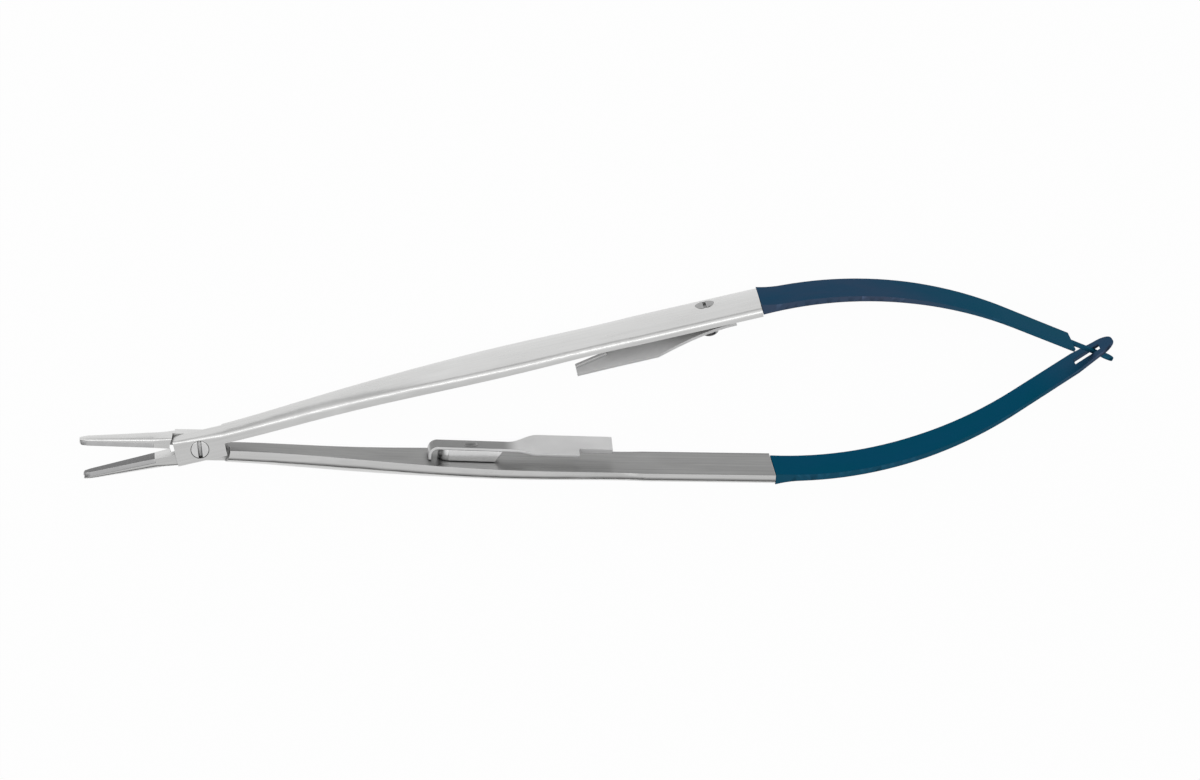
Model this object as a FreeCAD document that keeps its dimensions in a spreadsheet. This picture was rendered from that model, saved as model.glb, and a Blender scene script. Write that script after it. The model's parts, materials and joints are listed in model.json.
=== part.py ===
import FreeCAD, Part
import Sketcher
import math
import os

# Spring-handled micro needle holder, 145 mm long, with a squeeze catch.
# It lies on its side: +Z runs along the pivot screw, towards its head, +X runs back from the
# pivot to the spring's crossing and the handles open along Y. The origin is the middle of the
# footprint. Each half, spring and catch leaf is drawn closed, about the pivot and with its own
# arm at +Y, and then swung open by the rest angle. The second half is the first one turned over.

os.makedirs("parts", exist_ok=True)
doc = FreeCAD.newDocument("needle_holder")
sheet = doc.addObject("Spreadsheet::Sheet", "Sizes")

# Driving sizes in millimetres and degrees.
SIZES = {
    # how far each half stands open at rest
    "rest_angle": 7.25,
    # lap joint: full depth along the screw, radius of the relieved disc, plate ends, running gap
    "joint_depth": 3.6, "lap_radius": 4.2, "plate_front": 3.45, "plate_rear": 3.5,
    "plate_drop": 1.7, "hub_rise": 2.2, "lap_gap": 0.04,
    # outer edge of the hub's front: height of its flat side, and its rounding
    "hub_front_side": 3.3, "hub_front_round": 0.45,
    # handle arm at named places: distance, rise of the inner face, width, depth, side, rounding
    "wrist_rise": 0.1, "wrist_side": 0.9, "wrist_round": 0.85,
    "neck_x": 14.0, "neck_rise": 0.45, "neck_width": 4.1, "neck_depth": 2.4,
    "neck_side": 0.95, "neck_round": 0.9,
    "flare_x": 28.0, "flare_rise": 1.1, "flare_width": 6.4, "flare_depth": 2.5,
    "flare_side": 0.8, "flare_round": 0.9,
    "swell_x": 45.0, "swell_rise": 1.48, "swell_width": 9.0, "swell_depth": 2.25,
    "swell_side": 0.65, "swell_round": 0.9,
    "waist_x": 54.0, "waist_rise": 1.62, "waist_width": 8.7, "waist_depth": 2.1,
    "waist_side": 0.5, "waist_round": 0.9,
    "grip_x": 62.0, "grip_rise": 1.68, "grip_width": 9.0, "grip_depth": 2.1,
    "grip_side": 0.45, "grip_round": 0.9, "grip_length": 18.0,
    # jaw at named places: distance ahead of the pivot, width, depth, side, rounding
    "jaw_root_width": 3.3, "jaw_root_depth": 1.75, "jaw_root_side": 1.35, "jaw_root_round": 0.3,
    "jaw_mid_x": 6.6, "jaw_mid_width": 2.5, "jaw_mid_depth": 1.7,
    "jaw_mid_side": 0.9, "jaw_mid_round": 0.5,
    "jaw_tip_x": 15.5, "jaw_tip_width": 1.5, "jaw_tip_depth": 1.15,
    "jaw_tip_side": 0.7, "jaw_tip_round": 0.3,
    "jaw_nose_x": 16.6, "jaw_nose_width": 0.9, "jaw_nose_depth": 0.92,
    "jaw_nose_side": 0.72, "jaw_nose_round": 0.15,
    # hard insert in each jaw
    "insert_length": 10.2, "insert_depth": 0.65,
    # pivot screw
    "screw_head_radius": 1.27, "screw_head_depth": 1.0, "screw_shank_radius": 0.8,
    "screw_slot_width": 0.45, "screw_slot_depth": 0.45, "screw_play": 0.03,
    # leaf spring: thickness at the arm, behind it and at its end, bend and end slope
    "leaf_width": 7.7, "leaf_end_width": 7.0, "leaf_root_depth": 1.5, "leaf_root_run": 3.6,
    "leaf_neck_depth": 0.95, "leaf_end_depth": 0.45, "leaf_rise": 2.2, "leaf_start_slope": 1.4,
    "leaf_bend_radius": 55.0, "leaf_end_slope": 28.5, "leaf_gap": 0.05,
    # crossing of the two springs: tongue through slot
    "shoulder_back": 3.5, "tongue_width": 1.2, "tongue_end_width": 1.7, "tongue_reach": 3.0,
    "slot_width": 2.0, "slot_back": 3.1, "slot_ahead": 1.0, "head_width": 5.2, "head_reach": 3.1,
    # catch leaf of the upper arm
    "catch_sheet": 0.4, "catch_screw_x": 72.5, "catch_heel_x": 76.2, "catch_heel_out": 3.5,
    "catch_heel_tilt": 4.0, "catch_twist_ease": 1.8, "catch_blade_x": 64.7,
    "catch_blade_end_x": 57.8, "catch_blade_width": 5.0, "catch_blade_out": 3.1,
    "catch_tilt": 31.0, "catch_tongue_x": 53.2, "catch_tongue_width": 2.6,
    "catch_tip_width": 1.6, "catch_lip": 0.6, "catch_screw_drop": 0.75,
    # catch leaf and saddle of the lower arm
    "saddle_x": 33.0, "saddle_end_x": 41.0, "saddle_width": 3.1, "saddle_height": 1.6,
    "saddle_sheet": 0.4, "saddle_lift": 0.06, "saddle_slant": 1.0, "keeper_rivet_x": 37.6,
    "keeper_bend": 1.1, "keeper_front_gap": 0.1,
    "keeper_root_x": 43.0, "keeper_blade_x": 47.0, "keeper_blade_end_x": 52.8,
    "keeper_blade_width": 4.6, "keeper_drop": 2.55, "keeper_out": 2.9, "keeper_tilt": 16.0,
    "keeper_tongue_x": 57.5, "keeper_tongue_width": 3.0,
    # fasteners of the catch
    "pin_radius": 0.8, "catch_head_radius": 1.35, "catch_head_depth": 0.8,
    "catch_slot_width": 0.4, "catch_slot_depth": 0.35, "cap_radius": 1.0, "cap_flat": 0.55,
    "cap_height": 0.4, "rivet_cap_height": 0.3, "rivet_lift": 0.03, "pin_play": 0.06,
}
for row, (alias, number) in enumerate(SIZES.items(), start=1):
    sheet.set(f"A{row}", alias)
    sheet.set(f"B{row}", str(number))
    sheet.setAlias(f"B{row}", alias)
doc.recompute()


def size(alias):
    return float(getattr(sheet, alias))


# A length known both by its formula on the sheet and by its value there.
class Length:
    def __init__(self, text, value):
        self.text, self.value = text, float(value)

    def joined(self, sign, other, work):
        other = other if isinstance(other, Length) else Length(str(other), other)
        return Length(f"({self.text} {sign} {other.text})", work(self.value, other.value))

    def __add__(self, other):
        return self.joined("+", other, lambda a, b: a + b)

    def __sub__(self, other):
        return self.joined("-", other, lambda a, b: a - b)

    def __mul__(self, other):
        return self.joined("*", other, lambda a, b: a * b)

    def __truediv__(self, other):
        return self.joined("/", other, lambda a, b: a / b)

    def __neg__(self):
        return Length(f"(0 - {self.text})", -self.value)


def cell(alias):
    return Length(f"Sizes.{alias}", size(alias))


ZERO = Length("0", 0)


def bind(thing, prop, length):
    thing.setExpression(prop, length.text)


def plane_of(body, role):
    return [f for f in body.Origin.OriginFeatures if f.Role == role][0]


def new_sketch(body, name, role):
    sketch = body.newObject("Sketcher::SketchObject", name)
    sketch.AttachmentSupport = [(plane_of(body, role), "")]
    sketch.MapMode = "FlatFace"
    return sketch


# Cross-section of an arm, hub or jaw: a flat inner side, two upright sides, two rounded outer
# edges and a crown. It is drawn across X, with u along Y and v along Z. The crown looks along +Y
# where out is 1, and along -Y where it is -1.
def crown_of(width, depth, side, rounding):
    rise, half = depth - side, width / 2 - rounding
    return (rise * rise + half * half - rounding * rounding) / ((rise - rounding) * 2)


def section(body, name, x, inner, width, depth, side, rounding, out=1):
    crown_radius = crown_of(width, depth, side, rounding)
    half, corner, crown = width.value / 2, rounding.value, crown_radius.value
    foot = inner.value
    knee = foot + out * side.value
    centre = foot + out * (depth.value - crown)
    meet = math.atan2(half - corner, abs(knee - centre))
    quarter = math.pi / 2
    if out > 0:
        arcs = [(meet, quarter), (-quarter, -meet), (-meet, meet)]
    else:
        arcs = [(quarter, math.pi - meet), (math.pi + meet, 3 * quarter),
                (math.pi - meet, math.pi + meet)]
    sketch = new_sketch(body, name, "YZ_Plane")
    v, zup = FreeCAD.Vector, FreeCAD.Vector(0, 0, 1)
    for start, end in [((foot, -half), (foot, half)), ((foot, half), (knee, half)),
                       ((knee, -half), (foot, -half))]:
        sketch.addGeometry(Part.LineSegment(v(*start, 0), v(*end, 0)), False)
    for (u, w, radius), arc in zip([(knee, half - corner, corner), (knee, corner - half, corner),
                                    (centre, 0, crown)], arcs):
        circle = Part.Circle(v(u, w, 0), zup, radius)
        sketch.addGeometry(Part.ArcOfCircle(circle, *arc), False)
    base, near, far, near_corner, far_corner, dome = range(6)
    begin, finish = 1, 2
    rule = Sketcher.Constraint
    sketch.addConstraint(rule("Coincident", base, finish, near, begin))
    sketch.addConstraint(rule("Coincident", far, finish, base, begin))
    sketch.addConstraint(rule("Symmetric", base, begin, base, finish, -1))
    sketch.addConstraint(rule("Horizontal", near))
    sketch.addConstraint(rule("Horizontal", far))
    joins = [(near, finish, near_corner, finish), (near_corner, begin, dome, finish),
             (dome, begin, far_corner, finish), (far_corner, begin, far, begin)]
    if out < 0:
        joins = [(near, finish, near_corner, begin), (near_corner, finish, dome, begin),
                 (dome, finish, far_corner, begin), (far_corner, finish, far, begin)]
    for join in joins:
        sketch.addConstraint(rule("Tangent", *join))
    sketch.addConstraint(rule("Equal", near, far))
    sketch.addConstraint(rule("Equal", near_corner, far_corner))
    sized = [("inner", rule("DistanceX", -1, 1, base, begin, foot), inner),
             ("width", rule("DistanceY", base, begin, base, finish, 2 * half), width),
             ("side", rule("Distance", near, abs(knee - foot)), side),
             ("rounding", rule("Radius", near_corner, corner), rounding),
             ("crown", rule("Radius", dome, crown), crown_radius)]
    for label, constraint, formula in sized:
        index = sketch.addConstraint(constraint)
        sketch.renameConstraint(index, label)
        bind(sketch, f"Constraints.{label}", formula)
    bind(sketch, "AttachmentOffset.Base.z", x)
    return sketch


def loft(body, name, sketches, straight=False):
    feature = body.newObject("PartDesign::AdditiveLoft", name)
    feature.Profile = sketches[0]
    feature.Sections = sketches[1:]
    feature.Ruled = straight
    doc.recompute()
    return feature


def circle_sketch(body, name, role, radius, x=ZERO, offset=ZERO):
    sketch = new_sketch(body, name, role)
    circle = Part.Circle(FreeCAD.Vector(x.value, 0, 0), FreeCAD.Vector(0, 0, 1), radius.value)
    sketch.addGeometry(circle, False)
    rule = Sketcher.Constraint
    sketch.addConstraint(rule("PointOnObject", 0, 3, -1))
    across = sketch.addConstraint(rule("DistanceX", -1, 1, 0, 3, x.value))
    around = sketch.addConstraint(rule("Radius", 0, radius.value))
    for index, label, formula in ((across, "across", x), (around, "radius", radius)):
        sketch.renameConstraint(index, label)
        bind(sketch, f"Constraints.{label}", formula)
    bind(sketch, "AttachmentOffset.Base.z", offset)
    return sketch


def pocket(body, name, sketch, length=None, both_ways=False, turned=False):
    before = body.Shape.Volume
    feature = body.newObject("PartDesign::Pocket", name)
    feature.Profile = sketch
    feature.Reversed = turned
    if length is None:
        feature.Type = 1
        feature.Midplane = both_ways
    else:
        bind(feature, "Length", length)
    doc.recompute()
    if not body.Shape.Volume < before:
        raise ValueError(f"{name} cuts nothing")
    return feature


# Heights at which a line square to the arm, at a distance from the pivot, enters its inner face
# and leaves its crown.
def arm_at(x):
    ray = Part.makeLine(FreeCAD.Vector(x, 0, 0), FreeCAD.Vector(x, size("swell_x"), 0))
    span = doc.getObject("grip_pad").Shape.common(ray).BoundBox
    return span.YMin, span.YMax


# Stations of the arm behind the wrist, and of the jaw from its root to its nose.
def arm_sections(body):
    sketches = [section(body, "wrist", cell("plate_rear"), cell("wrist_rise"),
                        cell("joint_depth"), cell("hub_rise") - cell("wrist_rise"),
                        cell("wrist_side"), cell("wrist_round"))]
    for place in ("neck", "flare", "swell", "waist", "grip"):
        sizes = [cell(f"{place}_{key}") for key in ("x", "rise", "width", "depth", "side",
                                                    "round")]
        sketches.append(section(body, place, *sizes))
    return sketches


def jaw_sections(body):
    sketches = []
    for place in ("root", "mid", "tip", "nose"):
        x = cell("plate_front") if place == "root" else cell(f"jaw_{place}_x")
        sizes = [cell(f"jaw_{place}_{key}") for key in ("width", "depth", "side", "round")]
        sketches.append(section(body, f"jaw_{place}", -x, ZERO, *sizes, out=-1))
    return sketches


def box_sketch(body, name, left, right, low, high):
    sketch = new_sketch(body, name, "XY_Plane")
    v, rule = FreeCAD.Vector, Sketcher.Constraint
    x0, x1, y0, y1 = (side.value for side in (left, right, low, high))
    corners = [v(x0, y0, 0), v(x1, y0, 0), v(x1, y1, 0), v(x0, y1, 0)]
    for k in range(4):
        sketch.addGeometry(Part.LineSegment(corners[k], corners[(k + 1) % 4]), False)
    for k in range(4):
        sketch.addConstraint(rule("Coincident", k, 2, (k + 1) % 4, 1))
        sketch.addConstraint(rule("Horizontal" if k % 2 == 0 else "Vertical", k))
    for label, kind, line, corner, number, formula in (
            ("left", "DistanceX", 0, 1, x0, left), ("right", "DistanceX", 1, 1, x1, right),
            ("low", "DistanceY", 0, 1, y0, low), ("high", "DistanceY", 2, 1, y1, high)):
        index = sketch.addConstraint(rule(kind, -1, 1, line, corner, number))
        sketch.renameConstraint(index, label)
        bind(sketch, f"Constraints.{label}", formula)
    return sketch


# One half: arm, lap joint and the jaw that crosses to the other side, milled from one forging.
def handle_half(label, holds_head, pin_x):
    body = doc.addObject("PartDesign::Body", label)
    drop, rise, depth = cell("plate_drop"), cell("hub_rise"), cell("joint_depth")
    rear_side = drop + cell("wrist_rise") + cell("wrist_side")
    hub = [section(body, "hub_front", -cell("plate_front"), -drop, depth, drop + rise,
                   cell("hub_front_side"), cell("hub_front_round")),
           section(body, "hub_rear", cell("plate_rear"), -drop, depth, drop + rise,
                   rear_side, cell("wrist_round"))]
    loft(body, "hub", hub)
    arm = arm_sections(body)
    loft(body, "arm", arm)
    grip = body.newObject("PartDesign::Pad", "grip_pad")
    grip.Profile = arm[-1]
    bind(grip, "Length", cell("grip_length"))
    doc.recompute()
    loft(body, "jaw", jaw_sections(body), straight=True)
    pocket(body, "lap", circle_sketch(body, "lap_disc", "XY_Plane", cell("lap_radius"),
                                      offset=cell("lap_gap") / 2))
    shank = cell("screw_shank_radius")
    if holds_head:
        shank = shank + cell("screw_play")
        seat = circle_sketch(body, "head_circle", "XY_Plane",
                             cell("screw_head_radius") + cell("screw_play"),
                             offset=depth / 2)
        pocket(body, "head_seat", seat, cell("screw_head_depth") + cell("screw_play"))
        top = -(cell("grip_rise") + cell("grip_depth"))
        sunk = circle_sketch(body, "catch_head_circle", "XZ_Plane", cell("catch_head_radius"),
                             pin_x, top)
        pocket(body, "catch_head_seat", sunk, cell("catch_head_depth"), turned=True)
    pocket(body, "screw_bore", circle_sketch(body, "bore_circle", "XY_Plane", shank),
           both_ways=True)
    pocket(body, "insert_seat",
           box_sketch(body, "insert_outline", -(cell("jaw_nose_x") + cell("insert_depth")),
                      cell("insert_length") - cell("jaw_nose_x"), -cell("insert_depth"),
                      cell("insert_depth")), both_ways=True)
    pocket(body, "pin_bore", circle_sketch(body, "pin_circle", "XZ_Plane", cell("pin_radius"),
                                           pin_x), both_ways=True)
    return body


# Hard insert: the slice of the jaw's own form that fills the seat.
def jaw_insert(label):
    form = doc.addObject("PartDesign::Body", f"{label}_form")
    loft(form, "form", jaw_sections(form), straight=True)
    slab = doc.addObject("Part::Box", f"{label}_slab")
    bind(slab, "Length", cell("insert_length"))
    bind(slab, "Width", cell("insert_depth"))
    bind(slab, "Height", cell("joint_depth"))
    bind(slab, "Placement.Base.x", -cell("jaw_nose_x"))
    bind(slab, "Placement.Base.y", -cell("insert_depth"))
    bind(slab, "Placement.Base.z", -cell("joint_depth") / 2)
    insert = doc.addObject("Part::Common", label)
    insert.Base, insert.Tool = form, slab
    return insert


def fused(label, pieces):
    joined = doc.addObject("Part::MultiFuse", label)
    joined.Shapes = pieces
    return joined


def cylinder(name, radius, height, base_z):
    piece = doc.addObject("Part::Cylinder", name)
    bind(piece, "Radius", radius)
    bind(piece, "Height", height)
    bind(piece, "Placement.Base.z", base_z)
    return piece


def slot_cutter(name, width, depth, radius, top):
    cutter = doc.addObject("Part::Box", name)
    bind(cutter, "Length", width)
    bind(cutter, "Width", radius * 4)
    bind(cutter, "Height", depth * 2)
    bind(cutter, "Placement.Base.x", -width / 2)
    bind(cutter, "Placement.Base.y", -radius * 2)
    bind(cutter, "Placement.Base.z", top - depth)
    return cutter


# Pivot screw: slotted head sunk flush in the near half, shank threaded into the far half.
def pivot_screw(label):
    top, head_depth = cell("joint_depth") / 2, cell("screw_head_depth")
    head = cylinder("screw_head", cell("screw_head_radius"), head_depth, top - head_depth)
    shank = cylinder("screw_shank", cell("screw_shank_radius"), cell("joint_depth"), -top)
    slot = slot_cutter("screw_slot", cell("screw_slot_width"), cell("screw_slot_depth"),
                       cell("screw_head_radius"), top)
    screw = doc.addObject("Part::Cut", label)
    screw.Base, screw.Tool = fused("screw_blank", [head, shank]), slot
    return screw


# Fasteners of the catch. They are drawn upright, from the arm's inner face at z = 0 to its
# crown, and turned to lie along +Y.
def end_cap(name, height, base_z, up):
    cap = doc.addObject("Part::Cone", name)
    wide, narrow = cell("cap_radius"), cell("cap_flat")
    bind(cap, "Radius1", wide if up else narrow)
    bind(cap, "Radius2", narrow if up else wide)
    bind(cap, "Height", height)
    bind(cap, "Placement.Base.z", base_z if up else base_z - height)
    return cap


def catch_screw(label):
    crown, under = cell("grip_depth"), -cell("catch_screw_drop")
    head = cylinder("catch_head", cell("catch_head_radius"), cell("catch_head_depth"),
                    crown - cell("catch_head_depth"))
    shank = cylinder("catch_shank", cell("pin_radius"), crown - under, under)
    cap = end_cap("catch_cap", cell("cap_height"), under, False)
    slot = slot_cutter("catch_slot", cell("catch_slot_width"), cell("catch_slot_depth"),
                       cell("catch_head_radius"), crown)
    screw = doc.addObject("Part::Cut", label)
    screw.Base, screw.Tool = fused("catch_blank", [head, shank, cap]), slot
    return screw


def keeper_rivet(label):
    face, crest = arm_at(size("keeper_rivet_x"))
    stack = cell("saddle_lift") + cell("saddle_height") + cell("catch_sheet")
    inner = -(stack + cell("rivet_lift"))
    outer = Length(str(crest - face), crest - face) + cell("rivet_lift")
    shank = cylinder("keeper_shank", cell("pin_radius"), outer - inner, inner)
    caps = [end_cap("keeper_inner", cell("rivet_cap_height"), inner, False),
            end_cap("keeper_outer", cell("rivet_cap_height"), outer, True)]
    return fused(label, [shank, *caps])


# Leaf spring, drawn in the closed frame: one bend of constant radius from the arm's end, then a
# straight end that reaches the line where the two springs cross at rest.
def leaf_line():
    start_slope = math.radians(size("leaf_start_slope"))
    end_slope = -math.radians(size("leaf_end_slope") + size("rest_angle"))
    radius = size("leaf_bend_radius")
    clear = size("leaf_gap") + size("leaf_root_depth") * math.sin(start_slope)
    heel = FreeCAD.Vector(size("grip_x") + size("grip_length") + clear, size("leaf_rise"), 0)
    centre = heel + FreeCAD.Vector(math.sin(start_slope), -math.cos(start_slope), 0) * radius

    def on_bend(share, offset):
        slope = start_slope + share * (end_slope - start_slope)
        return centre + FreeCAD.Vector(-math.sin(slope), math.cos(slope), 0) * (radius + offset)

    bend_end = on_bend(1, 0)
    along = FreeCAD.Vector(math.cos(end_slope), math.sin(end_slope), 0)
    lean = math.tan(math.radians(size("rest_angle")))
    run = -(bend_end.y + bend_end.x * lean) / (along.y + along.x * lean)
    crossing = bend_end + along * run
    bend_length = radius * (start_slope - end_slope)
    return on_bend, bend_length, crossing, along


def leaf_side(reach):
    on_bend, bend_length, crossing, along = leaf_line()
    across = FreeCAD.Vector(-along.y, along.x, 0)
    neck, thin = size("leaf_neck_depth") / 2, size("leaf_end_depth") / 2
    root = size("leaf_root_depth") - neck
    run = size("leaf_root_run") / bend_length
    middle = (neck + thin) / 2
    tip = crossing + along * reach
    hollow = (root + neck) / 2 - (root - neck) / 4
    edges = [
        Part.LineSegment(on_bend(0, -neck), on_bend(0, root)),
        Part.Arc(on_bend(0, root), on_bend(run / 2, hollow), on_bend(run, neck)),
        Part.Arc(on_bend(run, neck), on_bend((1 + run) / 2, middle), on_bend(1, thin)),
        Part.LineSegment(on_bend(1, thin), tip + across * thin),
        Part.LineSegment(tip + across * thin, tip - across * thin),
        Part.LineSegment(tip - across * thin, on_bend(1, -thin)),
        Part.Arc(on_bend(1, -thin), on_bend(0.5, -middle), on_bend(0, -neck)),
    ]
    return Part.Face(Part.Wire([edge.toShape() for edge in edges]))


# Outline of the spring seen square to its straight end: x runs along it from the crossing, and
# y across it. Each list holds the outline's one side, from the arm to the tip.
def plan_face(side, tip):
    v = FreeCAD.Vector
    far_side = [v(x, -y, 0) for x, y in reversed(side)]
    near_side = [v(x, y, 0) for x, y in side]
    edges = [Part.makePolygon(near_side), Part.makePolygon(far_side + [near_side[0]])]
    edges.insert(1, Part.Wire(Part.Arc(near_side[-1], v(tip, 0, 0), far_side[0]).toShape()))
    lines = [edge for wire in edges for edge in wire.Edges]
    return Part.Face(Part.Wire(lines))


def leaf_spring(label, plan, reach):
    on_bend, bend_length, crossing, along = leaf_line()
    side = doc.addObject("Part::Feature", f"{label}_side")
    side.Shape = leaf_side(reach)
    strip = doc.addObject("Part::Extrusion", f"{label}_strip")
    strip.Base, strip.DirMode, strip.Dir = side, "Custom", FreeCAD.Vector(0, 0, 1)
    strip.Symmetric, strip.Solid = True, True
    bind(strip, "LengthFwd", cell("leaf_width"))
    outline = doc.addObject("Part::Feature", f"{label}_outline")
    outline.Shape = plan
    turn = FreeCAD.Rotation(along, FreeCAD.Vector(0, 0, 1), FreeCAD.Vector(), "XYZ")
    outline.Placement = FreeCAD.Placement(crossing, turn)
    blank = doc.addObject("Part::Extrusion", f"{label}_blank")
    blank.Base, blank.DirMode = outline, "Custom"
    blank.Dir = turn.multVec(FreeCAD.Vector(0, 0, 1))
    blank.Symmetric, blank.Solid = True, True
    bind(blank, "LengthFwd", cell("leaf_bend_radius") * 2)
    spring = doc.addObject("Part::Common", label)
    spring.Base, spring.Tool = strip, blank
    return spring


def tongue_plan():
    wide, narrow, end = (size(name) / 2 for name in
                         ("leaf_end_width", "tongue_width", "tongue_end_width"))
    back, reach = size("shoulder_back"), size("tongue_reach")
    side = [(-2 * size("leaf_bend_radius"), size("leaf_width") / 2),
            (-size("leaf_bend_radius") / 2, size("leaf_width") / 2), (-back, wide),
            (-back, narrow), (reach / 3, narrow), (reach / 2, end), (reach - end, end)]
    return plan_face(side, reach)


def head_plan():
    back, reach = size("slot_back"), size("head_reach")
    wide, head = size("leaf_end_width") / 2, size("head_width") / 2
    side = [(-2 * size("leaf_bend_radius"), size("leaf_width") / 2),
            (-size("leaf_bend_radius") / 2, size("leaf_width") / 2), (-back, wide),
            (reach - head, head)]
    face = plan_face(side, reach)
    v, half, ahead = FreeCAD.Vector, size("slot_width") / 2, size("slot_ahead")
    corners = [v(-back, -half, 0), v(ahead, -half, 0), v(ahead, half, 0), v(-back, half, 0)]
    return face.cut(Part.Face(Part.makePolygon(corners + [corners[0]])))


def inner_face(x):
    return arm_at(x)[0]


# Sheet-metal strip of the catch. A station gives its place along the arm, how far its outer
# edge hangs below the inner face, how far out that edge lies, its width and its tilt.
def strip_wire(x, hang, out, width, tilt):
    lean = math.radians(tilt)
    sheet_half = size("catch_sheet") / 2
    edge = FreeCAD.Vector(x, inner_face(x) - hang, out)
    inward = FreeCAD.Vector(0, math.sin(lean), -math.cos(lean))
    square = FreeCAD.Vector(0, math.cos(lean), math.sin(lean)) * sheet_half
    corners = [edge - square, edge + inward * width - square,
               edge + inward * width + square, edge + square]
    return Part.makePolygon(corners + [corners[0]])


def strip(stations):
    return Part.makeLoft([strip_wire(*station) for station in stations], True, True)


def twist(start, end, steps=7):
    stations = []
    for k in range(steps + 1):
        share = k / steps
        ease = share * share * (3 - 2 * share)
        stations.append(tuple(a + (b - a) * (share if n == 0 else ease)
                              for n, (a, b) in enumerate(zip(start, end))))
    return stations


def tongue_with_lip(start, end, lip):
    body = strip([start, end])
    rows = []
    for x, hang, out, width, tilt in (start, end):
        lean = math.radians(tilt)
        inner_edge = FreeCAD.Vector(x, inner_face(x) - hang + width * math.sin(lean),
                                    out - width * math.cos(lean))
        up = FreeCAD.Vector(0, math.cos(lean), math.sin(lean)) * lip
        thick = FreeCAD.Vector(0, -math.sin(lean), math.cos(lean)) * size("catch_sheet")
        corners = [inner_edge, inner_edge + thick, inner_edge + thick + up, inner_edge + up]
        rows.append(Part.makePolygon(corners + [corners[0]]))
    return body.fuse(Part.makeLoft(rows, True, True))


def catch_leaf(label, steps=9):
    width, tilt = size("catch_blade_width"), size("catch_tilt")
    heel_x, blade_x = size("catch_heel_x"), size("catch_blade_x")

    # The strip twists all the way, with its inner edge against the arm.
    def station(x, share):
        lean = size("catch_heel_tilt")
        lean += (tilt - lean) * share ** size("catch_twist_ease")
        out = size("catch_heel_out") + (size("catch_blade_out") - size("catch_heel_out")) * share
        hang = size("catch_sheet") / 2 + width * math.sin(math.radians(lean))
        return x, hang, out, width, lean

    twisted = [station(heel_x + (blade_x - heel_x) * k / steps, k / steps)
               for k in range(steps + 1)]
    blade = twisted[-1][1:3]
    tongue = (size("catch_blade_end_x"), *blade, size("catch_tongue_width"), tilt)
    tip = (size("catch_tongue_x"), *blade, size("catch_tip_width"), tilt)
    shape = strip(twisted + [station(size("catch_blade_end_x"), 1)])
    shape = shape.fuse(tongue_with_lip(tongue, tip, size("catch_lip")))
    hole = Part.makeCylinder(size("pin_radius") + size("pin_play"), size("grip_rise") * 2,
                             FreeCAD.Vector(size("catch_screw_x"), 0, 0),
                             FreeCAD.Vector(0, 1, 0))
    leaf = doc.addObject("Part::Feature", label)
    leaf.Shape = shape.cut(hole).removeSplitter()
    return leaf


# Front of the keeper leaf: the strip is bent down round the saddle's nose to the arm.
def keeper_front(seat):
    v, sheet_half = FreeCAD.Vector, size("catch_sheet") / 2
    bend, back = size("keeper_bend"), size("saddle_x")
    front = back - bend
    top = inner_face(back) - seat
    foot = inner_face(front) - size("keeper_front_gap")
    slant = math.sqrt(2) / 2

    def corner(radius):
        centre = v(back, top + bend, 0)
        return Part.Arc(centre + v(0, -radius, 0), centre + v(-radius, -radius, 0) * slant,
                        centre + v(-radius, 0, 0))

    outer, inner = corner(bend + sheet_half), corner(bend - sheet_half)
    ends = [v(front - sheet_half, foot, 0), v(front + sheet_half, foot, 0)]
    edges = [outer, Part.LineSegment(outer.EndPoint, ends[0]), Part.LineSegment(*ends),
             Part.LineSegment(ends[1], inner.EndPoint), inner,
             Part.LineSegment(inner.StartPoint, outer.StartPoint)]
    face = Part.Face(Part.Wire(Part.__sortEdges__([edge.toShape() for edge in edges])))
    width = size("saddle_width")
    face.translate(v(0, 0, -width / 2))
    return face.extrude(v(0, 0, width))


def keeper_leaf(label):
    half_sheet = size("catch_sheet") / 2
    seat = size("saddle_lift") + size("saddle_height") + half_sheet
    root_width, tilt = size("saddle_width"), size("keeper_tilt")
    root = (seat, root_width / 2, root_width, 0)
    blade = (size("keeper_drop"), size("keeper_out"), size("keeper_blade_width"), tilt)
    front, knee = (size("saddle_x"), *root), (size("keeper_root_x"), *root)
    blade_start = (size("keeper_blade_x"), *blade)
    blade_end = (size("keeper_blade_end_x"), *blade)
    tongue = (size("keeper_blade_end_x"), *blade[:2], size("keeper_tongue_width"), tilt)
    tip = (size("keeper_tongue_x"), *blade[:2], size("keeper_tongue_width"), tilt)
    shape = strip([front] + twist(knee, blade_start) + [blade_end]).fuse(keeper_front(seat))
    shape = shape.fuse(tongue_with_lip(tongue, tip, size("catch_lip")))
    hole = Part.makeCylinder(size("pin_radius") + size("pin_play"), size("grip_rise") * 4,
                             FreeCAD.Vector(size("keeper_rivet_x"), -size("grip_rise") * 2, 0),
                             FreeCAD.Vector(0, 1, 0))
    leaf = doc.addObject("Part::Feature", label)
    leaf.Shape = shape.cut(hole).removeSplitter()
    return leaf


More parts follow.
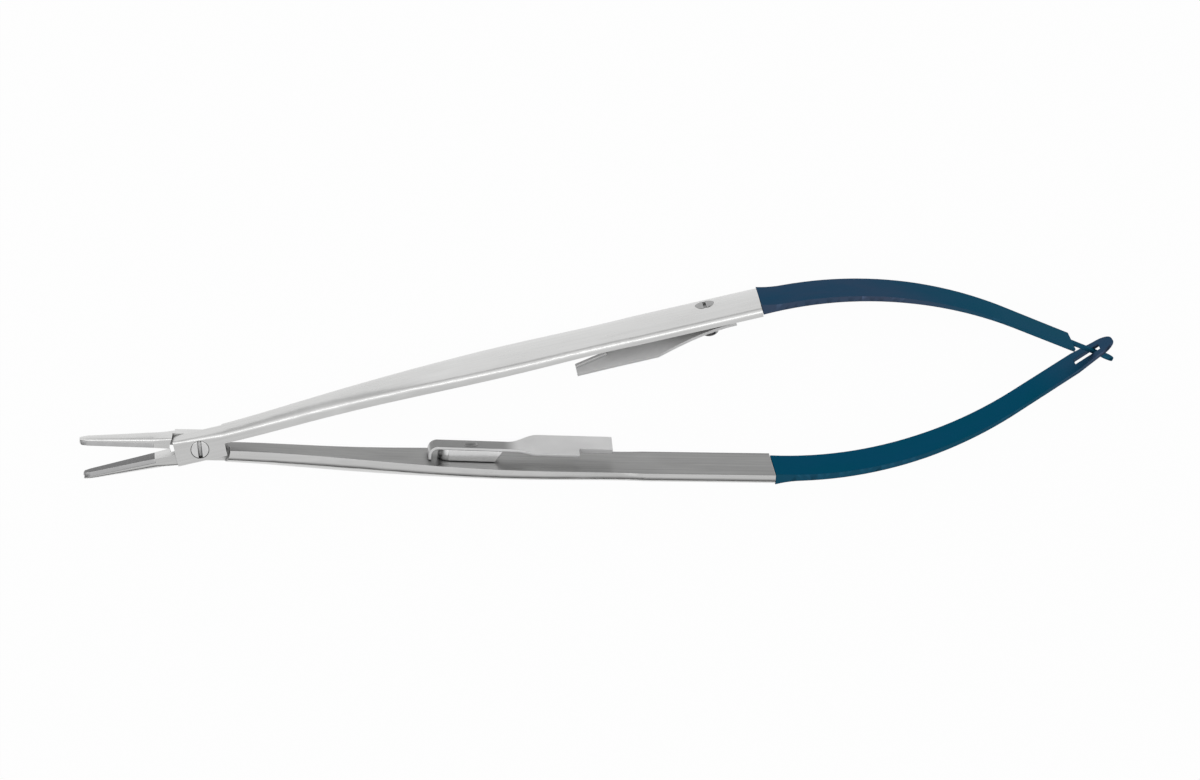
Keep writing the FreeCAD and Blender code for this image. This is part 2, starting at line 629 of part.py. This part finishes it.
# Saddle: a little cap with a round nose and a slanted open end. It holds the keeper leaf clear
# of the arm, and stands with its rim along the arm's inner face.
def saddle(label):
    def cap(inset, height, lift):
        half = size("saddle_width") / 2 - inset
        nose = size("saddle_x") + size("saddle_width") / 2
        v = FreeCAD.Vector
        end = size("saddle_end_x") + (size("saddle_slant") if inset == 0 else half)
        corners = [v(nose, 0, half), v(end, 0, half), v(end, 0, -half), v(nose, 0, -half)]
        lines = [Part.LineSegment(*pair).toShape() for pair in zip(corners, corners[1:])]
        lines.append(Part.Arc(corners[3], v(nose - half, 0, 0), corners[0]).toShape())
        face = Part.Face(Part.Wire(lines))
        face.translate(v(0, -lift - height, 0))
        return face.extrude(v(0, height, 0))

    sheet_size, height = size("saddle_sheet"), size("saddle_height")
    whole = cap(0, height, 0)
    hollow = cap(sheet_size, height, -sheet_size)
    end, slant = size("saddle_end_x"), size("saddle_slant")
    width = size("saddle_width")
    v = FreeCAD.Vector
    wedge = [v(end + slant, -height, -width), v(end, 0, -width), v(end + 2 * slant, 0, -width),
             v(end + 2 * slant, -height, -width)]
    slanted = Part.Face(Part.makePolygon(wedge + [wedge[0]])).extrude(v(0, 0, 2 * width))
    hole = Part.makeCylinder(size("pin_radius") + size("pin_play"), 2 * height,
                             v(size("keeper_rivet_x"), -2 * height, 0), v(0, 1, 0))
    shape = whole.cut(hollow).cut(slanted).cut(hole)
    start = inner_face(size("saddle_x"))
    slope = math.degrees(math.atan2(inner_face(end) - start, end - size("saddle_x")))
    piece = doc.addObject("Part::Feature", label)
    piece.Shape = shape
    seat = FreeCAD.Placement(v(0, start - size("saddle_lift"), 0), FreeCAD.Rotation())
    tip = FreeCAD.Placement(v(), FreeCAD.Rotation(v(0, 0, 1), slope), v(size("saddle_x"), 0, 0))
    return piece, seat.multiply(tip)


# How each piece is carried: closed frame to rest, and the drawn frame of a fastener to its arm.
open_up = FreeCAD.Placement(FreeCAD.Vector(),
                            FreeCAD.Rotation(FreeCAD.Vector(0, 0, 1), size("rest_angle")))
turned_over = FreeCAD.Placement(FreeCAD.Vector(),
                                FreeCAD.Rotation(FreeCAD.Vector(1, 0, 0), 180))
upper = open_up
lower = turned_over.multiply(open_up)


def across_arm(x):
    upright = FreeCAD.Rotation(FreeCAD.Vector(1, 0, 0), -90)
    return FreeCAD.Placement(FreeCAD.Vector(x, inner_face(x), 0), upright)


pieces = []


def carry(piece, placement):
    pieces.append((piece, placement))


carry(handle_half("upper_handle_half", True, cell("catch_screw_x")), upper)
carry(handle_half("lower_handle_half", False, cell("keeper_rivet_x")), lower)
carry(pivot_screw("pivot_screw"), FreeCAD.Placement())
carry(jaw_insert("lower_jaw_insert"), upper)
carry(jaw_insert("upper_jaw_insert"), lower)
carry(leaf_spring("upper_leaf_spring", tongue_plan(), size("tongue_reach")), upper)
carry(leaf_spring("lower_leaf_spring", head_plan(), size("head_reach")), lower)
carry(catch_leaf("upper_catch_leaf"), upper)
carry(keeper_leaf("lower_catch_leaf"), lower)
saddle_piece, saddle_seat = saddle("lower_catch_saddle")
carry(saddle_piece, lower.multiply(saddle_seat))
carry(catch_screw("upper_catch_screw"), upper.multiply(across_arm(size("catch_screw_x"))))
carry(keeper_rivet("lower_catch_rivet"), lower.multiply(across_arm(size("keeper_rivet_x"))))

# The origin goes to the middle of the footprint.
for piece, placement in pieces:
    piece.Placement = placement
doc.recompute()
box = FreeCAD.BoundBox()
for piece, placement in pieces:
    box.add(piece.Shape.optimalBoundingBox(False, False))
shift = FreeCAD.Placement(FreeCAD.Vector(-box.Center.x, -box.Center.y, -box.ZMin),
                          FreeCAD.Rotation())
for piece, placement in pieces:
    piece.Placement = shift.multiply(placement)
doc.recompute()

for thing in doc.Objects:
    if "Invalid" in thing.State or "Error" in thing.State:
        raise ValueError(f"{thing.Label} failed: {thing.State}")
for piece, placement in pieces:
    shape = piece.Shape
    if shape.isNull() or not shape.isValid() or shape.Volume <= 0:
        raise ValueError(f"{piece.Label} has no sound shape")
    print(f"{piece.Label:20s} solids {len(shape.Solids)} volume {shape.Volume:9.3f} mm3")
    shape.exportStep(f"parts/{piece.Label}.step")
print("pivot axis at", [round(c, 4) for c in (shift.Base.x, shift.Base.y)],
      "size", [round(c, 3) for c in (box.XLength, box.YLength, box.ZLength)])
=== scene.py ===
# %% [markdown]
# # A spring-handled needle holder, dressed for its portrait
# The solids of the instrument come ready made and already stand in the right place, in metres.
# This lesson gives them their metal: satin steel arms, hard grey jaw inserts, polished catch
# leaves and heat-blued springs.

# %% Load the imported model
import json
import math

import bmesh
import bpy
from mathutils import Matrix, Vector


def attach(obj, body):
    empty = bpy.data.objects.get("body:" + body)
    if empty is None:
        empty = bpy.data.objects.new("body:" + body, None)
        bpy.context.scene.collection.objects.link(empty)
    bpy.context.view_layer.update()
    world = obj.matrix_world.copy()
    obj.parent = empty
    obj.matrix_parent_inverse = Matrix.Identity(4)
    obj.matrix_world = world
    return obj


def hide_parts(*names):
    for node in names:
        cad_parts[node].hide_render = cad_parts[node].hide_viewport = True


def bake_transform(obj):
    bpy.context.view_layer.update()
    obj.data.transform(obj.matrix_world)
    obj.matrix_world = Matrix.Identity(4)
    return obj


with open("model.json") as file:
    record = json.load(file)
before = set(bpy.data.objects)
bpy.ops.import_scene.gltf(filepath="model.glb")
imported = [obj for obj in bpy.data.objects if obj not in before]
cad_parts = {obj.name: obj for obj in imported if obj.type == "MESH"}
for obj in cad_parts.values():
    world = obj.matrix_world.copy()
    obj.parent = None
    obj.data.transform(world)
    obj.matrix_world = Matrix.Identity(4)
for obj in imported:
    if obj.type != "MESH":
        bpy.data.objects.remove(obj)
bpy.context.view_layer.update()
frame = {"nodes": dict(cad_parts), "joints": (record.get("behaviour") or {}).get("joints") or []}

MM = 0.001
NODES = frame["nodes"]
JOINTS = {joint["name"]: joint for joint in frame["joints"]}
PIVOT = Vector(JOINTS["jaw_pivot"]["pos_m"])
print("nodes:", len(NODES), "pivot at", [round(c / MM, 2) for c in PIVOT], "mm")

# %% [markdown]
# ## Writing shader maths as Python
# A finish is mostly arithmetic on positions and noise. One small class wraps a socket, so that
# `1 - mask * 0.3` builds its Math nodes by itself. Every other node comes from one method, which
# takes the node's type, its settings and what goes into its sockets.


# %% A socket that can be used in expressions
class Wire:
    def __init__(self, finish, socket):
        self.finish, self.socket = finish, socket

    def maths(self, operation, first, second):
        return self.finish.node("ShaderNodeMath", {"operation": operation}, {0: first, 1: second})

    def __add__(self, other):
        return self.maths("ADD", self, other)

    __radd__ = __add__

    def __sub__(self, other):
        return self.maths("SUBTRACT", self, other)

    def __rsub__(self, other):
        return self.maths("SUBTRACT", other, self)

    def __mul__(self, other):
        return self.maths("MULTIPLY", self, other)

    __rmul__ = __mul__


# %% A tree that hands out nodes, and a material built on it
class Bench:
    def __init__(self, tree):
        self.tree = tree

    def node(self, kind, settings=None, inputs=None, output=0):
        made = self.tree.nodes.new(kind)
        for key, value in (settings or {}).items():
            if key == "stops":
                self.set_stops(made.color_ramp, value)
            else:
                setattr(made, key, value)
        for key, value in (inputs or {}).items():
            if isinstance(value, Wire):
                self.tree.links.new(value.socket, made.inputs[key])
            else:
                made.inputs[key].default_value = value
        return Wire(self, made.outputs[output])

    def set_stops(self, ramp, stops):
        while len(ramp.elements) < len(stops):
            ramp.elements.new(1.0)
        for element, (place, colour) in zip(ramp.elements, stops):
            element.position, element.color = place, (*colour, 1.0)


class Finish(Bench):
    def __init__(self, name, **constants):
        self.material = bpy.data.materials.new(name)
        self.material.use_nodes = True
        super().__init__(self.material.node_tree)
        self.shader = self.tree.nodes["Principled BSDF"]
        for label, value in constants.items():
            self.shader.inputs[label.replace("_", " ")].default_value = value

    def feed(self, label, wire):
        self.tree.links.new(wire.socket, self.shader.inputs[label])


# %% [markdown]
# ## Where on the instrument a point is
# The two arms lean away from each other, so brushing that should run along an arm needs
# coordinates turned with it. Each arm leans out by half the angle between them at rest, a
# little over seven degrees.

# %% Coordinates along and across one arm
LEAN = math.radians(7.25)


def along_arm(finish, side):
    spot = finish.node("ShaderNodeTexCoord", output="Object")
    return finish.node("ShaderNodeMapping", {}, {
        "Vector": finish.node("ShaderNodeVectorMath", {"operation": "SUBTRACT"},
                              {0: spot, 1: PIVOT}),
        "Rotation": (0, 0, -side * LEAN)})


def streaks(finish, place, along, across, detail=3.0):
    stretched = finish.node("ShaderNodeVectorMath", {"operation": "MULTIPLY"},
                            {0: place, 1: (along, across, across)})
    return finish.node("ShaderNodeTexNoise", {}, {"Vector": stretched, "Scale": 1.0,
                                                  "Detail": detail, "Roughness": 0.6})


def grey(finish, value, low, high):
    return finish.node("ShaderNodeValToRGB", {"stops": [(0.0, low), (1.0, high)]},
                       {"Fac": value})


# %% Masks: a band of values, a face's direction, edges for wear and painted highlight, and painted crevice shade
def band(finish, value, start, end):
    return finish.node("ShaderNodeMapRange", {"interpolation_type": "SMOOTHSTEP"}, {
        "Value": value, "From Min": start, "From Max": end, "To Min": 0.0, "To Max": 1.0})


def facing(finish, direction, start, end):
    normal = finish.node("ShaderNodeNewGeometry", output="Normal")
    return band(finish, finish.node("ShaderNodeVectorMath", {"operation": "DOT_PRODUCT"},
                                    {0: normal, 1: direction}, output="Value"), start, end)


# Edges found by the Bevel node. They are painted brighter as wear and painted highlight, or
# darker on the blued strip.
def edge_wear_and_highlight(finish, radius):
    rounded = finish.node("ShaderNodeBevel", {"samples": 4}, {"Radius": radius})
    normal = finish.node("ShaderNodeNewGeometry", output="Normal")
    agree = finish.node("ShaderNodeVectorMath", {"operation": "DOT_PRODUCT"},
                        {0: rounded, 1: normal}, output="Value")
    return band(finish, 1 - agree, 0.0, 0.12)


# Painted shade: corners, gaps and recesses that ambient occlusion finds are darkened.
def painted_crevice_shade(finish, reach):
    open_sky = finish.node("ShaderNodeAmbientOcclusion", {"samples": 6},
                           {"Distance": reach}, output="AO")
    return 1 - band(finish, open_sky, 0.2, 0.92)


# The Mix node keeps sockets for every kind of value; these are its colour ones.
FIRST_COLOUR, SECOND_COLOUR, MIXED_COLOUR = 6, 7, 2


def blend_colours(finish, factor, first, second):
    return finish.node("ShaderNodeMix", {"data_type": "RGBA"},
                       {0: factor, FIRST_COLOUR: first, SECOND_COLOUR: second},
                       output=MIXED_COLOUR)


def bump(finish, strength, depth, height):
    finish.feed("Normal", finish.node("ShaderNodeBump", {}, {
        "Strength": strength, "Distance": depth, "Height": height}))


# %% [markdown]
# ## Satin steel of the handle halves
# The arms are ground along their length and then blasted to a soft satin. Fine long streaks vary
# the roughness and lift the surface by a few microns, and a slow cloud stops it looking printed.
# The faces that look inward are rougher and carry a painted shade of darker grey, much darker on
# the lower arm than on the upper. The edges are painted a little brighter, partly as wear and
# partly as painted highlight, and crevices get painted shade.

# %% Handle steel, one finish for each arm's lean and its painted inner shade
def handle_steel(name, side, inward_shade):
    finish = Finish(name, Metallic=1.0)
    place = along_arm(finish, side)
    fine = streaks(finish, place, 260, 9000)
    long = streaks(finish, place, 60, 2600)
    cloud = streaks(finish, place, 90, 160, 2.0)
    tone = long * 0.5 + cloud * 0.5
    behind_joint = band(finish, finish.node("ShaderNodeSeparateXYZ", {}, {0: place}),
                        3.3 * MM, 3.6 * MM)
    # Painted shade: faces that look toward the other arm get a darker grey. They are also
    # rougher.
    inner = facing(finish, (0, -side, 0), 0.6, 0.85) * behind_joint
    outer_grey = grey(finish, tone, (0.54, 0.54, 0.535), (0.8, 0.8, 0.795))
    inner_shade_grey = grey(finish, tone, *inward_shade)
    inner_shaded = blend_colours(finish, inner, outer_grey, inner_shade_grey)
    # Edges painted brighter: partly wear, partly painted highlight.
    wear_and_glint = blend_colours(finish, edge_wear_and_highlight(finish, 0.12 * MM) * 0.6, inner_shaded,
                         (0.88, 0.88, 0.875, 1))
    # Painted shade in corners and gaps.
    crevice_shaded = blend_colours(finish, painted_crevice_shade(finish, 1.1 * MM) * 0.85, wear_and_glint,
                           (0.04, 0.04, 0.04, 1))
    finish.feed("Base Color", crevice_shaded)
    finish.feed("Roughness", fine * 0.14 + cloud * 0.1 + inner * 0.1 + 0.18)
    bump(finish, 0.25, 0.02 * MM, fine + long * 0.6)
    return finish.material


# Greys painted on the inner faces as shade between the arms, much darker on the lower arm.
PALE_INWARD_SHADE = ((0.4, 0.4, 0.395), (0.55, 0.55, 0.545))
DARK_INWARD_SHADE = ((0.09, 0.09, 0.089), (0.42, 0.42, 0.416))
UPPER_STEEL = handle_steel("satin_steel_upper", 1, PALE_INWARD_SHADE)
LOWER_STEEL = handle_steel("satin_steel_lower", -1, DARK_INWARD_SHADE)

# %% [markdown]
# ## Hard jaw inserts
# The inserts are sintered hard metal. They are darker than the steel, and their faces are cut
# with a very fine diamond pattern that grips the needle.

# %% Cross-cut hard metal
CUT_SCALE = 2400.0


def insert_metal():
    finish = Finish("hard_insert", Metallic=1.0)
    spot = finish.node("ShaderNodeTexCoord", output="Object")
    rows = [finish.node("ShaderNodeTexWave", {"bands_direction": "X"}, {
        "Vector": finish.node("ShaderNodeMapping", {}, {
            "Vector": spot, "Rotation": (0, side * math.radians(45), 0)}),
        "Scale": CUT_SCALE}, output="Fac") for side in (-1, 1)]
    pattern = rows[0] * rows[1]
    cloud = streaks(finish, spot, 500, 900)
    # Edges painted lighter: partly wear, partly painted highlight.
    edges = edge_wear_and_highlight(finish, 0.1 * MM)
    gripping = facing(finish, (0, 1, 0), 0.5, 0.8) + facing(finish, (0, -1, 0), 0.5, 0.8)
    cut = blend_colours(
        finish, gripping,
        grey(finish, cloud, (0.5, 0.5, 0.502), (0.66, 0.66, 0.662)),
        grey(finish, pattern * 0.5 + cloud * 0.5, (0.1, 0.1, 0.102), (0.24, 0.24, 0.242)))
    finish.feed("Base Color", blend_colours(finish, edges * 0.5, cut, (0.5, 0.5, 0.5, 1)))
    finish.feed("Roughness", pattern * -0.1 + cloud * 0.1 + 0.38)
    bump(finish, 0.4, 0.02 * MM, pattern)
    return finish.material


INSERT = insert_metal()

# %% [markdown]
# ## Polished sheet of the catch
# The catch leaves are stamped from spring strip and tumbled, with a faint grain along the strip.
# They are steel, but a fully metallic leaf mirrors the arm beside it and turns nearly black. So
# the two leaves get a low metallic share, set from the photo, and only the saddle has 1.

# %% Catch steel
def catch_steel(name, side, shine, tongue_end=None):
    finish = Finish(name, Metallic=shine)
    place = along_arm(finish, side)
    grain = streaks(finish, place, 300, 5000)
    cloud = streaks(finish, place, 200, 260, 2.0)
    colour = grey(finish, cloud, (0.68, 0.68, 0.68), (0.86, 0.86, 0.86))
    if tongue_end:
        # Painted shade: the upward face of the lower leaf is darkened near its root.
        painted_root_shade = 1 - band(finish, finish.node("ShaderNodeSeparateXYZ", {}, {0: place}),
                         tongue_end - 2.5 * MM, tongue_end)
        painted_root_shade = painted_root_shade * facing(finish, (0, 1, 0), 0.5, 0.8)
        colour = blend_colours(finish, painted_root_shade * 0.85, colour, (0.16, 0.16, 0.16, 1))
    # Edges painted brighter: partly wear, partly painted highlight.
    wear_and_glint = blend_colours(finish, edge_wear_and_highlight(finish, 0.1 * MM) * 0.6, colour,
                         (0.88, 0.88, 0.88, 1))
    # Painted shade in corners and gaps.
    crevice_shaded = blend_colours(finish, painted_crevice_shade(finish, 0.5 * MM) * 0.7, wear_and_glint,
                           (0.05, 0.05, 0.05, 1))
    finish.feed("Base Color", crevice_shaded)
    finish.feed("Roughness", grain * 0.12 + 0.44 - 0.32 * shine)
    bump(finish, 0.15, 0.01 * MM, grain)
    return finish.material


UPPER_CATCH = catch_steel("upper_catch_steel", 1, 0.1)
LOWER_CATCH = catch_steel("lower_catch_steel", -1, 0.3, tongue_end=44.5 * MM)
SADDLE = catch_steel("saddle_steel", -1, 1.0)

# %% [markdown]
# ## Turned screws
# A lathe leaves rings on a screw's head. Rings about the pivot are the distance from its axis
# pushed through a sine. The catch screw shares the finish, so its rings run round the pivot too.

# %% Screw steel
RING_RADIANS_PER_METRE = 60000.0


def screw_steel(name, dark, light):
    finish = Finish(name, Metallic=1.0)
    spot = finish.node("ShaderNodeTexCoord", output="Object")
    flat = finish.node("ShaderNodeVectorMath", {"operation": "MULTIPLY"}, {
        0: finish.node("ShaderNodeVectorMath", {"operation": "SUBTRACT"}, {0: spot, 1: PIVOT}),
        1: (1, 1, 0)})
    reach = finish.node("ShaderNodeVectorMath", {"operation": "LENGTH"}, {0: flat},
                        output="Value")
    rings = finish.node("ShaderNodeMath", {"operation": "SINE"},
                        {0: reach * RING_RADIANS_PER_METRE})
    cloud = streaks(finish, spot, 700, 700, 2.0)
    turned = grey(finish, cloud, (dark,) * 3, (light,) * 3)
    # Edges painted brighter: partly wear, partly painted highlight.
    wear_and_glint = blend_colours(finish, edge_wear_and_highlight(finish, 0.06 * MM) * 0.6, turned,
                         (0.9, 0.9, 0.9, 1))
    # Painted shade in the slot and corners.
    finish.feed("Base Color", blend_colours(finish, painted_crevice_shade(finish, 0.45 * MM), wear_and_glint,
                                            (0.03, 0.03, 0.03, 1)))
    finish.feed("Roughness", rings * 0.04 + 0.25)
    bump(finish, 0.12, 0.01 * MM, rings)
    return finish.material


PIVOT_SCREW = screw_steel("pivot_screw_steel", 0.66, 0.84)
CATCH_SCREW = screw_steel("catch_screw_steel", 0.22, 0.4)

# %% [markdown]
# ## Heat-blued springs
# The leaves are hardened strip, blued in the oven. The colour is a thin oxide: mostly a deep
# teal, and more violet behind the root of the upper strip and at the far end of the lower one.
# The edges are drawn darker. The specular tint is darker than real steel's, because
# the white room otherwise washes the blue out where the strip is seen at a slant.

# %% Blued strip
def blued_strip(name, side, violet_from, violet_to):
    finish = Finish(name, Metallic=1.0, Specular_Tint=(0.34, 0.42, 0.46, 1))
    place = along_arm(finish, side)
    far = finish.node("ShaderNodeSeparateXYZ", {}, {0: place})
    cloud = streaks(finish, place, 120, 200)
    grain = streaks(finish, place, 300, 7000)
    violet = band(finish, far, *violet_from) * (1 - band(finish, far, *violet_to))
    teal = grey(finish, cloud, (0.008, 0.088, 0.135), (0.02, 0.082, 0.155))
    heated = grey(finish, cloud, (0.03, 0.08, 0.142), (0.075, 0.085, 0.14))
    oxide = blend_colours(finish, violet, teal, heated)
    rubbed = edge_wear_and_highlight(finish, 0.1 * MM) * 0.6
    finish.feed("Base Color", blend_colours(finish, rubbed, oxide, (0.006, 0.03, 0.06, 1)))
    finish.feed("Roughness", grain * 0.14 + 0.32)
    bump(finish, 0.12, 0.01 * MM, grain)
    return finish.material


UPPER_BLUE = blued_strip("blued_strip_upper", 1, (0.068, 0.077), (0.096, 0.114))
LOWER_BLUE = blued_strip("blued_strip_lower", -1, (0.114, 0.127), (0.2, 0.3))

# %% [markdown]
# ## Each solid gets its finish
# The copies made later take their material from here, so the finishes go on first. The rivet is
# finished like the leaf that it holds.

# %% Put the finishes on
FINISH_OF = {
    "upper_handle_half": UPPER_STEEL, "lower_handle_half": LOWER_STEEL,
    "upper_jaw_insert": INSERT, "lower_jaw_insert": INSERT,
    "pivot_screw": PIVOT_SCREW, "upper_catch_screw": CATCH_SCREW,
    "lower_catch_rivet": LOWER_CATCH,
    "upper_catch_leaf": UPPER_CATCH, "lower_catch_leaf": LOWER_CATCH,
    "lower_catch_saddle": SADDLE,
    "upper_leaf_spring": UPPER_BLUE, "lower_leaf_spring": LOWER_BLUE,
}
for node, material in FINISH_OF.items():
    mesh = NODES[node].data
    mesh.materials.clear()
    mesh.materials.append(material)

# %% [markdown]
# ## Springs cut into short lengths
# A leaf spring has no hinge: it curves most just behind its root. The mesh is cut into short
# lengths along the strip.

# %% Copy a solid into a clean mesh with eased edges
EASE = 0.1 * MM
CREASE = math.radians(32)
NEARLY_FLAT = math.radians(0.5)
WELD = 1e-7
NOSE_DEPTH = 0.1 * MM


def modifier_result(piece):
    graph = bpy.context.evaluated_depsgraph_get()
    final = bpy.data.meshes.new_from_object(piece.evaluated_get(graph))
    piece.modifiers.clear()
    piece.data = final


def eased_copy(node, name, ease=EASE, cuts=(), nose=0.0):
    mesh = NODES[node].data.copy()
    mesh.name = name
    shape = bmesh.new()
    shape.from_mesh(mesh)
    bmesh.ops.remove_doubles(shape, verts=shape.verts, dist=WELD)
    bmesh.ops.dissolve_limit(shape, angle_limit=NEARLY_FLAT, verts=shape.verts,
                             edges=shape.edges)
    for place, normal in cuts:
        everything = list(shape.verts) + list(shape.edges) + list(shape.faces)
        bmesh.ops.bisect_plane(shape, geom=everything, plane_co=place, plane_no=normal)
    if nose:
        front = min(vertex.co.x for vertex in shape.verts) + NOSE_DEPTH
        rim = [edge for edge in shape.edges if all(v.co.x < front for v in edge.verts)
               and edge.calc_face_angle(0.0) > CREASE]
        bmesh.ops.bevel(shape, geom=rim, offset=nose, segments=4, profile=0.5,
                        affect="EDGES", clamp_overlap=True)
    for face in shape.faces:
        face.smooth = True
    for edge in shape.edges:
        edge.smooth = edge.calc_face_angle(0.0) < CREASE
    shape.to_mesh(mesh)
    shape.free()
    piece = bpy.data.objects.new(name, mesh)
    bpy.context.scene.collection.objects.link(piece)
    bevel = piece.modifiers.new("ease", "BEVEL")
    bevel.width, bevel.segments, bevel.limit_method = ease, 2, "ANGLE"
    bevel.angle_limit = CREASE
    piece.modifiers.new("flats_stay_flat", "WEIGHTED_NORMAL")
    modifier_result(piece)
    return piece


def leaf(node, name, joint):
    root = Vector(JOINTS[joint]["pos_m"])
    places = [root.x + step * MM for step in [*range(1, 20), *range(20, 52, 2)]]
    piece = eased_copy(node, name, cuts=[(Vector((x, 0, 0)), Vector((1, 0, 0)))
                                         for x in places])
    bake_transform(piece)
    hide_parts(node)
    print(name, len(piece.data.polygons), "faces")


leaf("upper_leaf_spring", "upper_blued_leaf",
     "upper_leaf_flex")
leaf("lower_leaf_spring", "lower_blued_leaf",
     "lower_leaf_flex")

# %% [markdown]
# ## Rigid pieces with a maker's eased edges
# No edge on a real instrument is perfectly sharp: a stone or a tumbling barrel takes it off, and
# that hair of rounding is what catches the light. Each rigid solid is copied, its edges are
# rounded by 0.04 to 0.15 mm (0.3 mm on the folded saddle), and the copy rides on the same body.
# The ends of the jaws are rounded further. The catch screw's domed end is also drawn out by
# 1.3 mm, because it hides behind the leaf at the length that the solid has.

# %% Eased rigid pieces
RIGID = {
    "upper_handle_half": ("near_half", "handle_steel", 0.15 * MM, 0.5 * MM),
    "lower_handle_half": ("far_half", "handle_steel", 0.15 * MM, 0.5 * MM),
    "upper_jaw_insert": ("far_half", "carbide", 0.04 * MM, 0.35 * MM),
    "lower_jaw_insert": ("near_half", "carbide", 0.04 * MM, 0.35 * MM),
    "pivot_screw": ("far_half", "screw_steel", 0.1 * MM, 0.0),
    "upper_catch_screw": ("near_half", "screw_steel", 0.06 * MM, 0.0),
    "lower_catch_rivet": ("far_half", "screw_steel", 0.06 * MM, 0.0),
    "upper_catch_leaf": ("near_half", "catch_steel", 0.08 * MM, 0.0),
    "lower_catch_leaf": ("far_half", "catch_steel", 0.08 * MM, 0.0),
    "lower_catch_saddle": ("far_half", "catch_steel", 0.3 * MM, 0.0),
}
KNOB_CAP = 0.3 * MM
KNOB_RISE = 1.3 * MM
KNOB_SWELL = 1.3


def draw_out_knob(piece):
    away = Vector((math.sin(LEAN), -math.cos(LEAN), 0))
    reach = [vertex.co.dot(away) for vertex in piece.data.vertices]
    tip = [vertex for vertex, far in zip(piece.data.vertices, reach)
           if far > max(reach) - KNOB_CAP]
    middle = sum((vertex.co for vertex in tip), Vector()) / len(tip)
    for vertex in tip:
        out = vertex.co - middle
        along = away * out.dot(away)
        vertex.co = middle + along + (out - along) * KNOB_SWELL + away * KNOB_RISE
    print("knob:", len(tip), "points drawn out")


for node, (body, slot, ease, nose) in RIGID.items():
    piece = eased_copy(node, f"eased_{node}", ease, nose=nose)
    if node == "upper_catch_screw":
        draw_out_knob(piece)
    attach(piece, body)
    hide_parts(node)
    print(piece.name, len(piece.data.polygons), "faces on", body)

# %% [markdown]
# ## A plain white table and soft studio light
# The catalogue picture has a white ground. The table is white to the camera and to reflections
# by Light Path, and stays an ordinary pale surface for the light that falls on it.

# %% Table
TABLE_REACH = 3.0
WHITE_SHARE = 0.97


def table():
    mesh = bpy.data.meshes.new("table")
    corners = [(x * TABLE_REACH, y * TABLE_REACH, 0)
               for x, y in ((-1, -1), (1, -1), (1, 1), (-1, 1))]
    mesh.from_pydata(corners, [], [(0, 1, 2, 3)])
    top = bpy.data.objects.new("table", mesh)
    bpy.context.scene.collection.objects.link(top)
    paper = Finish("white_paper", Roughness=0.9)
    paper.shader.inputs["Base Color"].default_value = (0.8, 0.8, 0.8, 1)
    path = [paper.node("ShaderNodeLightPath", output=ray) for ray in
            ("Is Camera Ray", "Is Glossy Ray", "Is Transmission Ray")]
    seen = paper.node("ShaderNodeMath", {"operation": "MAXIMUM"}, {0: path[0], 1: path[1]})
    seen = paper.node("ShaderNodeMath", {"operation": "MAXIMUM"}, {0: seen, 1: path[2]})
    glow = paper.node("ShaderNodeEmission", {}, {"Color": (1, 1, 1, 1), "Strength": 1.0})
    diffuse = Wire(paper, paper.shader.outputs[0])
    mixed = paper.node("ShaderNodeMixShader", {}, {0: seen * WHITE_SHARE, 1: diffuse,
                                                    2: glow})
    output = paper.tree.nodes["Material Output"]
    paper.tree.links.new(mixed.socket, output.inputs["Surface"])
    mesh.materials.append(paper.material)


table()

# %% [markdown]
# ## Lamps and surroundings
# Polished metal shows its surroundings, so the room matters as much as the lamps. It is white
# overhead and nearly black at the horizon, which gives the inner faces of the arms their grey.
# The wall on the upper arm's side is paler, and the opposite side is dimmed a little.

# %% World
def surroundings():
    world = bpy.data.worlds.new("studio")
    bpy.context.scene.world = world
    world.use_nodes = True
    room = Bench(world.node_tree)
    look = room.node("ShaderNodeTexCoord", output="Generated")
    height = room.node("ShaderNodeSeparateXYZ", {}, {0: look}, output="Z")
    back = room.node("ShaderNodeSeparateXYZ", {}, {0: look}, output="Y")
    ceiling = room.node("ShaderNodeValToRGB", {"stops": [
        (0.0, (0.03, 0.03, 0.03)), (0.35, (0.12, 0.12, 0.12)), (0.7, (0.6, 0.6, 0.6)),
        (0.95, (1.0, 1.0, 1.0))]}, {"Fac": height})
    wall = band(room, back, 0.2, 0.9) * 0.5
    far_side = band(room, back, -0.8, 0.2) * 0.3 + 0.7
    backdrop = room.tree.nodes["Background"]
    room.tree.links.new((ceiling * far_side + wall).socket, backdrop.inputs["Color"])
    backdrop.inputs["Strength"].default_value = 1.0


surroundings()


# %% Lamps
def lamp(name, place, aim, size, power):
    data = bpy.data.lights.new(name, "AREA")
    data.shape, data.size, data.size_y, data.energy = "RECTANGLE", size[0], size[1], power
    made = bpy.data.objects.new(name, data)
    made.location = place
    made.rotation_euler = (Vector(aim) - Vector(place)).to_track_quat("-Z", "Y").to_euler()
    bpy.context.scene.collection.objects.link(made)


lamp("overhead", (0.0, 0.16, 0.5), (0, 0, 0), (0.7, 0.1), 0.32)
lamp("left_front", (-0.35, 0.25, 0.3), (0, 0, 0), (0.3, 0.3), 0.15)

# %% [markdown]
# ## The camera
# The picture looks down on the instrument from above with a long lens, tilted a little towards
# the upper arm. Its right and up directions are written out, and the third follows.

# %% Camera
def camera():
    right = Vector((0.9934, -0.0819, 0.0807)).normalized()
    up = Vector((0.1044, 0.9362, -0.3358))
    up = (up - right * up.dot(right)).normalized()
    back = right.cross(up)
    data = bpy.data.cameras.new("portrait")
    data.lens, data.sensor_width = 180.0, 36.0
    frame_width = 166.7 * MM
    distance = frame_width * data.lens / data.sensor_width
    target = PIVOT + Vector((56.0, 1.94, 0.0)) * MM
    made = bpy.data.objects.new("portrait", data)
    turned = Matrix((right, up, back)).transposed().to_4x4()
    made.matrix_world = Matrix.Translation(target + back * distance) @ turned
    bpy.context.scene.collection.objects.link(made)
    bpy.context.scene.camera = made
    data.clip_start, data.clip_end = 0.01, 20.0


camera()
bpy.context.scene.view_settings.view_transform = "Standard"
